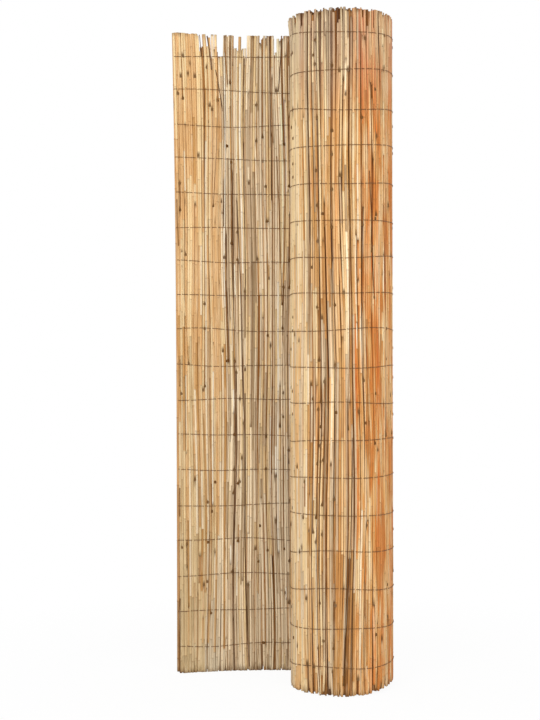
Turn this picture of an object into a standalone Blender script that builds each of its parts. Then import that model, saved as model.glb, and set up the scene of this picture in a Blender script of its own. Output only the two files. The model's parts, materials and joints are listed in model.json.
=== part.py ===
"""Reed screening roll, stood on its end with the free end of the mat unrolled to one side.

Metres, +Z up, the floor at Z = 0. The roll's axis is vertical. The mat leaves the roll at its
back, runs towards -X, and bends slightly forwards again at its edge.
"""

import math

import bmesh
import bpy
from mathutils import Vector

# The mat
MAT_HEIGHT = 1.80  # cut length of the reeds
LAYER_THICKNESS = 0.011  # the mat is two reeds deep
REED_PITCH = 0.0065  # from one reed to the next
REED_GAP_DEPTH = 0.0022  # how far the gap between two reeds goes into the mat's face

# The roll
ROLL_DIAMETER = 0.289  # over the outermost turn, where the mat leaves the roll
BORE_DIAMETER = 0.080  # hollow in the middle of the roll
TURN_GAP = 0.001  # air between two turns
END_GROOVE_DEPTH = 0.010  # depth of the gap between two turns, as cut into the roll's ends

# The free end
FREE_LENGTH = 0.498  # from the roll to the mat's edge
FREE_BEND_RADIUS = 1.0  # slack bend that the mat keeps after it is unrolled
TAKE_OFF_ANGLE = math.radians(78)  # where the mat leaves the roll, from +X

# The binding wires
WIRE_ROWS = 18
WIRE_DIAMETER = 0.0015
WIRE_FOOT_MARGIN = 0.077  # lowest row, from the reeds' lower ends
WIRE_HEAD_MARGIN = 0.064  # highest row, from the reeds' upper ends
WIRE_CREASE_GAP = 0.003  # left between the two ends of a wire, in the crease behind the roll

# Clearances and fineness
SEAT_GAP = 0.0003  # between two pieces that lie against each other
SHARP_ANGLE = math.radians(30)  # edges of the roll that bend more than this are shaded sharp
CHORD_ERROR = 0.0006  # furthest that a straight piece of a spiral lies inside the true curve
REED_STEPS = 4  # straight pieces across the round face of a reed
BORE_STEPS = 40
WOUND_STEPS = 28  # straight pieces of wire round the roll
FREE_STEPS = 6  # straight pieces of wire along each face of the free end
WRAP_STEPS = 4  # straight pieces of wire round the mat's edge
TRIM_OVERSIZE = 0.003  # left on the turned roll before it is trimmed to the spiral
CUTTER_OVERRUN = 0.01  # how far a cutter passes the face that it cuts

TURN_PITCH = LAYER_THICKNESS + TURN_GAP
MID_RADIUS = (ROLL_DIAMETER - LAYER_THICKNESS) / 2
HALF_LAYER = LAYER_THICKNESS / 2
WIRE_OFFSET = HALF_LAYER + SEAT_GAP + WIRE_DIAMETER / 2
CORE_OFFSET = HALF_LAYER + SEAT_GAP
EDGE_WRAP_INSET = HALF_LAYER / 2  # centre of a wire's bend round the mat's edge, in from the edge
FULL_TURN = 2 * math.pi

REED_COLOUR = (0.62, 0.40, 0.20, 1)
CORE_COLOUR = (0.50, 0.32, 0.16, 1)
WIRE_COLOUR = (0.16, 0.11, 0.07, 1)


def clear_scene():
    for obj in list(bpy.data.objects):
        bpy.data.objects.remove(obj)


def collection(name):
    made = bpy.data.collections.new(name)
    bpy.context.scene.collection.children.link(made)
    return made


def material(name, colour, roughness, metallic=0.0):
    made = bpy.data.materials.new(name)
    made.use_nodes = True
    shader = made.node_tree.nodes["Principled BSDF"]
    shader.inputs["Base Color"].default_value = colour
    shader.inputs["Roughness"].default_value = roughness
    shader.inputs["Metallic"].default_value = metallic
    return made


def spiral_radius(turned):
    """Radius of the mat's middle, this far round inwards from where it leaves the roll."""
    return MID_RADIUS - TURN_PITCH * turned / FULL_TURN


def on_spiral(turned, offset):
    """Plan point on the wound mat, offset outwards from its middle."""
    angle = TAKE_OFF_ANGLE - turned
    radius = spiral_radius(turned) + offset
    return Vector((radius * math.cos(angle), radius * math.sin(angle)))


def on_free_end(run, offset):
    """Plan point on the unrolled mat, this far along it, offset to the side that faces out on the roll."""
    bent = run / FREE_BEND_RADIUS
    centre_distance = MID_RADIUS - FREE_BEND_RADIUS
    centre = Vector((math.cos(TAKE_OFF_ANGLE), math.sin(TAKE_OFF_ANGLE))) * centre_distance
    angle = TAKE_OFF_ANGLE + bent
    return centre + Vector((math.cos(angle), math.sin(angle))) * (FREE_BEND_RADIUS + offset)


def wound_length(turned):
    """Length of mat in this much of the spiral."""
    return MID_RADIUS * turned - TURN_PITCH * turned**2 / (2 * FULL_TURN)


def turned_for(length):
    """How far round this length of mat reaches: wound_length the other way about."""
    bend = TURN_PITCH / (2 * FULL_TURN)
    return (MID_RADIUS - math.sqrt(MID_RADIUS**2 - 4 * bend * length)) / (2 * bend)


def on_mat(run, offset):
    """Plan point on the mat: run is positive along the free end and negative round the roll."""
    if run < 0:
        return on_spiral(turned_for(-run), offset)
    return on_free_end(run, offset)


def spiral_steps(start, end, offset):
    """Angles along the spiral, as far apart as the chord error lets them be."""
    angles = [start]
    while angles[-1] < end:
        radius = spiral_radius(angles[-1]) + offset
        step = 2 * math.acos(1 - CHORD_ERROR / radius)
        angles.append(min(end, angles[-1] + step))
    return angles


def plan_strip(name, outside, inside, height, floor=0.0):
    """A wall of the given height on a strip of plan points, which run from the roll towards the free end."""
    columns = len(outside) - 1
    strip = bmesh.new()
    bmesh.ops.create_grid(strip, x_segments=columns, y_segments=1, size=1)
    for corner in strip.verts:
        column = round((corner.co.x + 1) / 2 * columns)
        place = outside[column] if corner.co.y < 0 else inside[column]
        corner.co = (place.x, place.y, floor)
    return raised(name, strip, height)


def shade_round_faces(obj):
    """Applies the modifiers and shades smooth all that has no sharp edge."""
    graph = bpy.context.evaluated_depsgraph_get()
    made = bpy.data.meshes.new_from_object(obj.evaluated_get(graph))
    made.shade_smooth()
    made.set_sharp_from_angle(angle=SHARP_ANGLE)
    obj.modifiers.clear()
    obj.data = made
    made.name = obj.name


def raised(name, plan, height):
    """An object whose flat mesh is made a solid of the given height."""
    data = bpy.data.meshes.new(name)
    plan.to_mesh(data)
    plan.free()
    obj = bpy.data.objects.new(name, data)
    height_modifier = obj.modifiers.new("height", "SOLIDIFY")
    height_modifier.thickness = height
    height_modifier.offset = 1
    return obj


def as_cutter(obj, cutters):
    obj.hide_render = True
    obj.display_type = "WIRE"
    cutters.objects.link(obj)
    return obj


def boolean(target, operation, cutter):
    modifier = target.modifiers.new(f"{operation.lower()} {cutter.name}", "BOOLEAN")
    modifier.operation = operation
    modifier.object = cutter


def turned_blank(where):
    """The roll as turned: a thick tube with the bore through it."""
    outer = MID_RADIUS - CORE_OFFSET + TRIM_OVERSIZE
    bore = BORE_DIAMETER / 2
    profile = [(outer, MAT_HEIGHT), (outer, 0), (bore, 0), (bore, MAT_HEIGHT)]
    data = bpy.data.meshes.new("rolled_reeds")
    corners = [(radius, 0, height) for radius, height in profile]
    data.from_pydata(corners, [(0, 1), (1, 2), (2, 3), (3, 0)], [])
    roll = bpy.data.objects.new("rolled_reeds", data)
    where.objects.link(roll)
    turn = roll.modifiers.new("turn", "SCREW")
    turn.axis = "Z"
    turn.angle = FULL_TURN
    turn.steps = turn.render_steps = BORE_STEPS
    turn.use_merge_vertices = True
    turn.merge_threshold = 0.00001
    return roll


def spiral_trim(cutters):
    """What the turned blank is trimmed to: one turn of the spiral, closed by the step that the outer layer butts on."""
    angles = spiral_steps(0, FULL_TURN, -CORE_OFFSET)
    outline = [on_spiral(turned, -CORE_OFFSET) for turned in reversed(angles)]
    plan = bmesh.new()
    bmesh.ops.create_circle(plan, cap_ends=True, segments=len(outline), radius=1)
    for corner, place in zip(plan.verts, outline):
        corner.co = (place.x, place.y, -CUTTER_OVERRUN)
    prism = raised("spiral_trim", plan, MAT_HEIGHT + 2 * CUTTER_OVERRUN)
    return as_cutter(prism, cutters)


def end_groove(name, floor, cutters):
    """The gap between the turns, as a spiral wall that cuts one end of the roll from floor upwards."""
    outer_offset = -HALF_LAYER
    inner_offset = -HALF_LAYER - TURN_GAP
    turns = (MID_RADIUS + inner_offset - BORE_DIAMETER / 2 - TURN_PITCH / 2) / TURN_PITCH
    start = FULL_TURN - CUTTER_OVERRUN / MID_RADIUS
    angles = list(reversed(spiral_steps(start, turns * FULL_TURN, outer_offset)))
    outside = [on_spiral(turned, outer_offset) for turned in angles]
    inside = [on_spiral(turned, inner_offset) for turned in angles]
    wall = plan_strip(name, outside, inside, END_GROOVE_DEPTH + CUTTER_OVERRUN, floor)
    return as_cutter(wall, cutters)


def rolled_reeds(where, cutters):
    """All the turns inside the outermost one, as one turned solid with its bore."""
    roll = turned_blank(where)
    boolean(roll, "INTERSECT", spiral_trim(cutters))
    bottom = end_groove("bottom_groove", -CUTTER_OVERRUN, cutters)
    top = end_groove("top_groove", MAT_HEIGHT - END_GROOVE_DEPTH, cutters)
    boolean(roll, "DIFFERENCE", bottom)
    boolean(roll, "DIFFERENCE", top)
    shade_round_faces(roll)
    return roll


def reed_profile(inner_end):
    """Distances along the mat and half thicknesses there: each reed's face is round and meets the next in a gap."""
    count = round((FREE_LENGTH - inner_end) / REED_PITCH)
    pitch = (FREE_LENGTH - inner_end) / count
    profile = []
    for reed in range(count):
        edge = inner_end + reed * pitch
        for step in range(REED_STEPS):
            turned = math.pi * step / REED_STEPS
            across = pitch * (1 - math.cos(turned)) / 2
            profile.append((edge + across, HALF_LAYER - REED_GAP_DEPTH * (1 - math.sin(turned))))
    profile.append((FREE_LENGTH, HALF_LAYER - REED_GAP_DEPTH))
    return profile


def outer_layer(where):
    """The outermost turn and the free end, as one solid with the gaps between reeds cut into both faces."""
    profile = reed_profile(SEAT_GAP - wound_length(FULL_TURN))
    outside = [on_mat(run, half) for run, half in profile]
    inside = [on_mat(run, -half) for run, half in profile]
    layer = plan_strip("outer_reed_layer", outside, inside, MAT_HEIGHT)
    where.objects.link(layer)
    return layer


def chord_rise(radius, step):
    """How far out the ends of a straight piece go, for its middle to stay on the curve."""
    return radius * (1 / math.cos(step / 2) - 1)


def crease_reach():
    """How far from the take-off point the crease behind the roll is too narrow for both ends of a wire."""
    opening = 2 * (SEAT_GAP + WIRE_DIAMETER) + WIRE_CREASE_GAP
    closing_bend = 1 / MID_RADIUS - 1 / FREE_BEND_RADIUS
    return math.sqrt(2 * (opening - TURN_GAP) / closing_bend)


def wire_route():
    """Plan points of one wire: round the roll, along the free end's back, round its edge and back along its front."""
    crease = crease_reach()
    tucked = FULL_TURN - crease / MID_RADIUS
    wound_offset = WIRE_OFFSET + chord_rise(MID_RADIUS, tucked / WOUND_STEPS)
    wound = [tucked * (1 - i / WOUND_STEPS) for i in range(WOUND_STEPS)]
    route = [on_spiral(turned, wound_offset) for turned in wound]

    wrap_centre = FREE_LENGTH - EDGE_WRAP_INSET
    back_step = wrap_centre / FREE_STEPS
    free_offset = WIRE_OFFSET + chord_rise(FREE_BEND_RADIUS, back_step / FREE_BEND_RADIUS)
    route += [on_free_end(back_step * i, free_offset) for i in range(FREE_STEPS)]

    for i in range(WRAP_STEPS + 1):
        angle = math.pi / 2 - math.pi * i / WRAP_STEPS
        reach = free_offset * math.cos(angle)
        route.append(on_free_end(wrap_centre + reach, free_offset * math.sin(angle)))

    front_step = (wrap_centre - crease) / FREE_STEPS
    front = [wrap_centre - front_step * (i + 1) for i in range(FREE_STEPS)]
    return route + [on_free_end(run, -free_offset) for run in front]


def binding_wires(where):
    """The rows of wire that hold the reeds, evenly spaced up the mat."""
    data = bpy.data.curves.new("binding_wire", "CURVE")
    data.dimensions = "3D"
    data.bevel_depth = WIRE_DIAMETER / 2
    data.bevel_resolution = 0
    data.use_fill_caps = True
    route = wire_route()
    spline = data.splines.new("POLY")
    spline.points.add(len(route) - 1)
    for knot, point in zip(spline.points, route):
        knot.co = (point.x, point.y, 0, 1)
    spacing = (MAT_HEIGHT - WIRE_FOOT_MARGIN - WIRE_HEAD_MARGIN) / (WIRE_ROWS - 1)
    wires = []
    for row in range(WIRE_ROWS):
        wire = bpy.data.objects.new(f"binding_wire_{row + 1:02d}", data)
        wire.location.z = WIRE_FOOT_MARGIN + row * spacing
        where.objects.link(wire)
        wires.append(wire)
    return wires


def centre_on_origin(pieces, cutters):
    """Hangs everything on an empty that puts the middle of the pieces' plan at the origin."""
    bpy.context.view_layer.update()
    graph = bpy.context.evaluated_depsgraph_get()
    corners = []
    for piece in pieces:
        evaluated = piece.evaluated_get(graph)
        corners += [evaluated.matrix_world @ Vector(corner) for corner in evaluated.bound_box]
    centre = bpy.data.objects.new("plan_centre", None)
    bpy.context.scene.collection.objects.link(centre)
    for axis in (0, 1):
        values = [corner[axis] for corner in corners]
        centre.location[axis] = -(min(values) + max(values)) / 2
    for obj in [*pieces, *cutters]:
        obj.parent = centre


def main():
    clear_scene()
    screening = collection("reed_screening_roll")
    cutters = collection("cutters")
    roll = rolled_reeds(screening, cutters)
    layer = outer_layer(screening)
    wires = binding_wires(screening)
    roll.data.materials.append(material("rolled_reed", CORE_COLOUR, 0.75))
    layer.data.materials.append(material("reed", REED_COLOUR, 0.62))
    wires[0].data.materials.append(material("binding_wire", WIRE_COLOUR, 0.5, 0.8))
    centre_on_origin([roll, layer, *wires], cutters.objects)


main()
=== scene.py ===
"""Looks of the reed screening roll.

Each reed is a hollow stalk of its own. The reeds stand side by side along the line of the mat, two deep,
and rows of paired wires hold them. The mat is wound round the roll's axis, and its free end runs to the
left of it.
"""

import json
import logging
import math
from dataclasses import dataclass, field
from enum import Enum
from typing import NamedTuple

import bpy
import numpy as np
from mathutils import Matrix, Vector

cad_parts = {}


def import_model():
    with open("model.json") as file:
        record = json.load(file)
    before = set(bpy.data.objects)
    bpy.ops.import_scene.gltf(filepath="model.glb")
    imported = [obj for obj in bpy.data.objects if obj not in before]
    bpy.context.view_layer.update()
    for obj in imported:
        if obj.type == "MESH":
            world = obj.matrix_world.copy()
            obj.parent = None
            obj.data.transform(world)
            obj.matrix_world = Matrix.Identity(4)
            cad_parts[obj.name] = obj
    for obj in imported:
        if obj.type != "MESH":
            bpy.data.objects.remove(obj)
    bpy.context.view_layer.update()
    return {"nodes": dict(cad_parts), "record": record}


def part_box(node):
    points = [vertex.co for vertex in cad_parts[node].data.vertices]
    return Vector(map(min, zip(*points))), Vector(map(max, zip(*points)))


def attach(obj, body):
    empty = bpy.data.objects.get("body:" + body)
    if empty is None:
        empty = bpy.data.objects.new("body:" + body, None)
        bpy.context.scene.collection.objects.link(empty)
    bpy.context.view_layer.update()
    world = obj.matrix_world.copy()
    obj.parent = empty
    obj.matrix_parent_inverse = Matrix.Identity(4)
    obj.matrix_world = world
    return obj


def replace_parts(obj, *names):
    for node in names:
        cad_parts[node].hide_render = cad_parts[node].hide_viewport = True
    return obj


LOG = logging.getLogger("reed_screening_roll")
MM = 0.001
FULL_TURN = 2 * math.pi
BAKE_MAP = "OFBake"

Lengths = float | np.ndarray
Mask = tuple[float, float]
Triple = tuple[float, float, float]


class Side(Enum):
    """The two faces of the mat, by the sign of their offset from its middle."""

    OUTER = 1
    INNER = -1


class Place(Enum):
    """What stands in one place along a face of the mat."""

    MAIN = "a thick reed, whole or spliced"
    THIN = "thin lengths, many of which end in a dark knot"
    # partly painted shade: a darker reed that also stands in for the shade in the gaps between the reeds
    DARK = "a thin dark reed, set back between its neighbours"
    BRIGHT = "a clean pale reed"


class Shade(Enum):
    """Colours of dry reed, as they look in plain daylight."""

    IVORY = "FCF2DC"
    CREAM = "F3DFBC"
    STRAW = "E8CB99"
    HONEY = "DCB078"
    AMBER = "D8A563"
    OCHRE = "C69659"
    GREY_STRAW = "CEB592"
    TAUPE = "AE936E"
    ORANGE = "D8924E"
    RUST = "F2C596"
    BROWN = "946530"
    UMBER = "603D1C"
    # painted shade: the near-black inside the hollow ends of the reeds
    SOOT = "33220F"

    @property
    def linear(self) -> np.ndarray:
        """The colour as three linear values."""
        coded = np.array([int(self.value[i : i + 2], 16) / 255 for i in (0, 2, 4)])
        return np.where(coded <= 0.04045, coded / 12.92, ((coded + 0.055) / 1.055) ** 2.4)


@dataclass(frozen=True)
class MatLine:
    """The middle of the mat in plan: a spiral round the roll's axis, then the slack bend of the free end.

    A run is a distance along the mat, positive on the free end and negative round the roll.
    """

    axis_x: float
    axis_y: float
    foot: float
    height: float
    rows: tuple[float, ...]
    roll_diameter: float = 289 * MM
    thickness: float = 11 * MM
    turn_gap: float = 1 * MM
    bore_diameter: float = 80 * MM
    free_length: float = 498 * MM
    free_bend_radius: float = 1000 * MM
    take_off: float = math.radians(78)
    edge_lean: float = 13 * MM
    fan: float = 6 * MM
    fan_middle: float = 330 * MM
    twist: float = 10 * MM
    twist_edge: float = 520 * MM
    twist_waves: float = 3.25
    twist_from: float = 0.4
    twist_fade: float = 50 * MM
    sway: float = 3 * MM
    sway_waves: tuple[Triple, ...] = ((1.0, 9.5, 21.0), (0.5, 17.0, -43.0))
    sway_fade: float = 60 * MM
    flare: float = 9 * MM
    flare_run: float = -615 * MM
    flare_width: float = 75 * MM
    foot_lift: float = 18 * MM
    foot_lift_focus: float = 2.5

    @property
    def pitch(self) -> float:
        """How much the spiral closes in one turn."""
        return self.thickness + self.turn_gap

    @property
    def outer_radius(self) -> float:
        """Radius of the mat's middle where it leaves the roll."""
        return (self.roll_diameter - self.thickness) / 2

    @property
    def half(self) -> float:
        """Half of the mat's thickness."""
        return self.thickness / 2

    @property
    def turns(self) -> float:
        """Turns of the mat, from where it leaves the roll in to the bore."""
        return (self.outer_radius - self.bore_diameter / 2 - self.half) / self.pitch

    def wound(self, turns: float) -> float:
        """Length of mat in this many turns, counted inwards."""
        turned = turns * FULL_TURN
        return self.outer_radius * turned - self.pitch * turned**2 / (2 * FULL_TURN)

    def place(self, run: Lengths, offset: Lengths) -> tuple[np.ndarray, np.ndarray, np.ndarray]:
        """Plan points on the mat.

        Args:
            run: distances along the mat.
            offset: distances out from its middle, to the side that faces out on the roll.

        Returns:
            The points' x and y, and the angle of the mat's outward normal there.
        """
        run = np.asarray(run, float)
        bend = self.pitch / (2 * FULL_TURN)
        closed = np.sqrt(self.outer_radius**2 - 4 * bend * np.maximum(-run, 0))
        turned = (self.outer_radius - closed) / (2 * bend)
        angle = self.take_off - turned + np.maximum(run, 0) / self.free_bend_radius
        radius = np.where(run < 0, self.outer_radius - self.pitch * turned / FULL_TURN, self.free_bend_radius)
        centre = np.where(run < 0, 0, self.outer_radius - self.free_bend_radius)
        x = self.axis_x + centre * math.cos(self.take_off) + (radius + offset) * np.cos(angle)
        y = self.axis_y + centre * math.sin(self.take_off) + (radius + offset) * np.sin(angle)
        return x, y, angle

    def drift(self, run: Lengths, height: np.ndarray) -> np.ndarray:
        """How far the reeds stand aside along the mat at this height.

        The free edge leans, the free end fans out at its top, the roll is twisted a little in its upper
        part, and all reeds sway.

        Args:
            run: where they stand along the mat.
            height: how high up, in the frame.

        Returns:
            The distances along the mat.
        """
        up = (height - self.foot) / self.height
        lean = -self.edge_lean * (1 - up**3) * np.maximum(run, 0) / self.free_length
        fan_reach = self.free_length - self.fan_middle
        fan = np.sin(math.pi * np.clip((run - self.fan_middle) / fan_reach, -1, 1)) * up**8
        around = np.sin(math.pi / 2 * self.twist_waves * (run / self.twist_edge + 1))
        around *= 1 - np.exp(np.minimum(run, 0) / self.twist_fade)
        twist = around * np.maximum(0, (up - self.twist_from) / (1 - self.twist_from)) ** 1.2
        waves = sum(size * np.sin(rising * up + along * run) for size, rising, along in self.sway_waves)
        sway = waves * np.minimum(1, np.abs(self.free_length - run) / self.sway_fade)
        return lean + self.fan * fan - self.twist * twist + self.sway * sway

    def lift(self, run: Lengths) -> np.ndarray:
        """How far off the floor the feet stand here: they do on the roll's side away from the free end."""
        _, _, outwards = self.place(run, 0.0)
        return self.foot_lift * np.maximum(0, np.cos(outwards)) ** self.foot_lift_focus


@dataclass(frozen=True)
class Parting:
    """A place where the reeds of one face stand apart, so that those behind show between them.

    Attributes:
        run: where it is along the mat.
        middle: height where it is widest.
        reach: how far up and down from there it closes.
        opening: how wide it is.
        width: how far along the mat the reeds are pushed aside.
    """

    run: float
    middle: float
    reach: float
    opening: float
    width: float = 40 * MM

    def push(self, run: float, height: np.ndarray) -> np.ndarray:
        """How far a reed at this run is pushed aside, at these heights."""
        away = run - self.run
        strength = math.copysign(self.opening / 2, away) * math.exp(-abs(away) / self.width)
        return strength * np.maximum(0, 1 - ((height - self.middle) / self.reach) ** 2)


PARTINGS = {
    Side.INNER: (
        Parting(292 * MM, -0.05, 0.75, 6 * MM),
        Parting(256 * MM, -0.10, 0.50, 7 * MM),
        Parting(400 * MM, 0.75, 0.40, 3 * MM),
    ),
    Side.OUTER: (
        Parting(-547 * MM, 1.86, 0.18, 6 * MM, 20 * MM),
        Parting(-452 * MM, 1.85, 0.34, 6 * MM, 20 * MM),
        Parting(-409 * MM, 1.86, 0.36, 6 * MM, 20 * MM),
        Parting(-378 * MM, 1.70, 0.30, 5 * MM, 20 * MM),
        Parting(-327 * MM, 1.86, 0.22, 6 * MM, 20 * MM),
        Parting(-290 * MM, 1.85, 0.28, 6 * MM, 20 * MM),
        Parting(-404 * MM, 1.02, 0.14, 4 * MM),
        Parting(-440 * MM, -0.05, 0.22, 6 * MM),
        Parting(-376 * MM, -0.06, 0.34, 7 * MM),
        Parting(-322 * MM, -0.04, 0.24, 7 * MM),
    ),
}


class Signal:
    """What flows out of a shader socket, for use in plain sums."""

    def __init__(self, graph: "Graph", socket: bpy.types.NodeSocket) -> None:
        """Wraps a node's output."""
        self.graph = graph
        self.socket = socket

    def _math(self, operation: str, *terms: "Signal | float", clamp: bool = False) -> "Signal":
        """A Math node on these terms."""
        sockets = dict(enumerate(terms))
        return self.graph.signal("ShaderNodeMath", "Value", sockets, operation=operation, use_clamp=clamp)

    def __add__(self, other: "Signal | float") -> "Signal":
        """The sum."""
        return self._math("ADD", self, other)

    def __sub__(self, other: "Signal | float") -> "Signal":
        """The difference."""
        return self._math("SUBTRACT", self, other)

    def __rsub__(self, other: float) -> "Signal":
        """The difference from a number."""
        return self._math("SUBTRACT", other, self)

    def __mul__(self, other: "Signal | float") -> "Signal":
        """The product."""
        return self._math("MULTIPLY", self, other)

    def most(self, other: "Signal | float") -> "Signal":
        """The larger of the two."""
        return self._math("MAXIMUM", self, other)

    def above(self, level: float, slope: float) -> "Signal":
        """A mask: 0 up to this level, and rising from there to 1 by this slope."""
        return self._math("MULTIPLY", self - level, slope, clamp=True)


class Graph:
    """A material's nodes."""

    def __init__(self, tree: bpy.types.NodeTree) -> None:
        """Starts on an emptied node tree."""
        self.tree = tree
        tree.nodes.clear()

    def node(self, kind: str, sockets: dict | None = None, **settings: object) -> bpy.types.Node:
        """Adds a node.

        Args:
            kind: the node's type.
            sockets: values or signals, by the input's name or number.
            **settings: its properties, set before its sockets.

        Returns:
            The node.
        """
        made = self.tree.nodes.new(kind)
        for name, value in settings.items():
            setattr(made, name, value)
        for key, value in (sockets or {}).items():
            if isinstance(value, Signal):
                self.tree.links.new(value.socket, made.inputs[key])
            else:
                made.inputs[key].default_value = value
        return made

    def signal(self, kind: str, output: str | int, sockets: dict | None = None, **settings: object) -> Signal:
        """Adds a node and gives one of its outputs, by its name or number."""
        return Signal(self, self.node(kind, sockets, **settings).outputs[output])

    def attribute(self, name: str, output: str = "Fac") -> Signal:
        """A value that the mesh holds at each point."""
        return self.signal("ShaderNodeAttribute", output, attribute_name=name)

    def vector(self, operation: str, output: str, *terms: Signal | tuple) -> Signal:
        """A Vector Math node on these terms."""
        return self.signal("ShaderNodeVectorMath", output, dict(enumerate(terms)), operation=operation)

    def noise(self, place: Signal, cells: Triple, detail: float = 2.0) -> Signal:
        """Soft noise with this many cells a metre along each axis."""
        scaled = self.vector("MULTIPLY", "Vector", place, cells)
        return self.signal("ShaderNodeTexNoise", "Fac", {"Vector": scaled, "Scale": 1.0, "Detail": detail})

    def bump(self, height: Signal, strength: float, distance: float) -> Signal:
        """The skin's normal with a relief of this height."""
        sockets = {"Strength": strength, "Distance": distance, "Height": height}
        return self.signal("ShaderNodeBump", "Normal", sockets)

    def mix(
        self, share: Signal | float, first: Signal | tuple, second: Signal | tuple, blend: str = "MIX"
    ) -> Signal:
        """Blends two colours.

        Args:
            share: how much of the second shows.
            first: the colour below.
            second: the colour above.
            blend: the Mix node's blend type.

        Returns:
            The blended colour.
        """
        sockets = {0: share, 6: first, 7: second}
        return self.signal("ShaderNodeMix", 2, sockets, data_type="RGBA", blend_type=blend)

    def grey(self, level: Signal) -> Signal:
        """A number as a colour without hue."""
        return self.signal("ShaderNodeCombineColor", "Color", {0: level, 1: level, 2: level})

    def finish(self, shader: Signal, target: str = "ShaderNodeOutputMaterial") -> None:
        """Links the last shader to the output."""
        self.node(target, {"Surface": shader})


def new_material(name: str) -> tuple[bpy.types.Material, Graph]:
    """An empty material and its nodes."""
    made = bpy.data.materials.new(name)
    made.use_nodes = True
    return made, Graph(made.node_tree)


def colour(shade: Shade, share: float = 1.0) -> tuple[float, float, float, float]:
    """A shade as a socket's colour, darkened to this share."""
    return (*(shade.linear * share), 1.0)


@dataclass(frozen=True)
class ReedFinish:
    """Dry reed: a waxy straw skin with long fibres, weathered stretches, flecks, dark joints and ends, and
    painted shade deep between the reeds and in their hollow ends.

    Its cells are how many patches there are in a metre along each axis. A mask is the level of noise, or
    the height in metres, from which a patch shows, and the slope by which it sets in.
    """

    name: str
    fibre_contrast: float = 0.22
    fibre_cells: Triple = (1500.0, 1500.0, 14.0)
    weathering: float = 0.5
    weather_cells: Triple = (110.0, 110.0, 9.0)
    weather_mask: Mask = (0.5, 4.0)
    bleaching: float = 0.3
    bleach_cells: Triple = (60.0, 60.0, 16.0)
    bleach_mask: Mask = (0.54, 4.0)
    greying: float = 0.24
    grey_cells: Triple = (26.0, 26.0, 2.4)
    grey_mask: Mask = (0.5, 7.0)
    fleck_share: float = 0.32
    fleck_cells: Triple = (420.0, 420.0, 90.0)
    fleck_mask: Mask = (0.62, 12.0)
    patch_cells: Triple = (30.0, 30.0, 3.6)
    spot_cells: Triple = (90.0, 90.0, 7.0)
    rust_mask: Mask = (0.47, 9.0)
    pale_mask: Mask = (0.51, 9.0)
    fade_mask: Mask = (1.5, 4.5)
    fading: float = 0.75
    dulling: float = 0.17
    rust_loss: float = 0.6
    joint_share: float = 0.42
    stain_share: float = 0.9
    # painted shade between the reeds: how dark it gets where the skin lies deepest
    groove_shading: float = 0.7
    roughness: float = 0.5
    gloss: float = 0.2
    relief: float = 0.25 * MM

    def material(self) -> bpy.types.Material:
        """The finish as a material that reads the values that the reeds hold."""
        made, graph = new_material(self.name)
        tint = graph.attribute("tint", "Color")
        grain = graph.attribute("grain", "Vector")
        calm, stain = graph.attribute("calm"), graph.attribute("stain")
        place = graph.signal("ShaderNodeTexCoord", "Object")
        height = graph.signal("ShaderNodeSeparateXYZ", "Z", {"Vector": place})
        fibre = graph.noise(grain, self.fibre_cells, 3.0)
        streaks = fibre * (2 * self.fibre_contrast) + (1 - self.fibre_contrast)
        weather = graph.noise(grain, self.weather_cells).above(*self.weather_mask)
        bleach = graph.noise(grain, self.bleach_cells).above(*self.bleach_mask)
        grey = graph.noise(place, self.grey_cells).above(*self.grey_mask) * (1.0 - calm)
        fleck = graph.noise(grain, self.fleck_cells, 3.0).above(*self.fleck_mask)
        patch = graph.noise(place, self.patch_cells) * 0.5 + graph.noise(grain, self.spot_cells, 3.0) * 0.5
        tops = height.above(*self.fade_mask) * graph.attribute("fade")
        rust = patch.above(*self.rust_mask) * graph.attribute("rust") * (1.0 - tops * self.rust_loss)
        pale = (1.0 - patch).above(*self.pale_mask) * graph.attribute("bleach")
        # painted shade: the skin darkens where it lies deep between the reeds, less so in a calm lot
        groove_shading = graph.attribute("crevice") * (1.0 - calm * 0.5) * self.groove_shading
        coats = (
            (1.0, graph.grey(streaks), "MULTIPLY"),
            (weather * self.weathering, colour(Shade.GREY_STRAW), "MULTIPLY"),
            (bleach * self.bleaching, colour(Shade.CREAM), "MIX"),
            (grey * self.greying, colour(Shade.TAUPE), "MULTIPLY"),
            (rust, colour(Shade.RUST), "MULTIPLY"),
            (pale, colour(Shade.CREAM), "MIX"),
            (tops * self.fading, colour(Shade.GREY_STRAW), "SATURATION"),
            (1.0, graph.grey(1.0 - tops * self.dulling), "MULTIPLY"),
            (fleck * self.fleck_share, colour(Shade.BROWN, 0.7), "MIX"),
            (graph.attribute("joint") * self.joint_share, colour(Shade.BROWN, 0.7), "MIX"),
            # painted shade deep between the reeds
            (groove_shading, colour(Shade.OCHRE), "MULTIPLY"),
            (stain * self.stain_share, colour(Shade.BROWN, 0.42), "MIX"),
            # painted shade inside the hollow ends, over the inner wall's own brown
            (graph.attribute("hollow"), colour(Shade.SOOT), "MIX"),
        )
        skin = tint
        for share, coat, blend in coats:
            skin = graph.mix(share, skin, coat, blend)
        graph.finish(graph.signal("ShaderNodeBsdfPrincipled", "BSDF", {
            "Base Color": skin,
            "Roughness": fibre * 0.3 + stain * 0.2 + (self.roughness - 0.15),
            "Specular IOR Level": self.gloss,
            "Normal": graph.bump(fibre, 0.5, self.relief),
        }))
        return made


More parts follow.
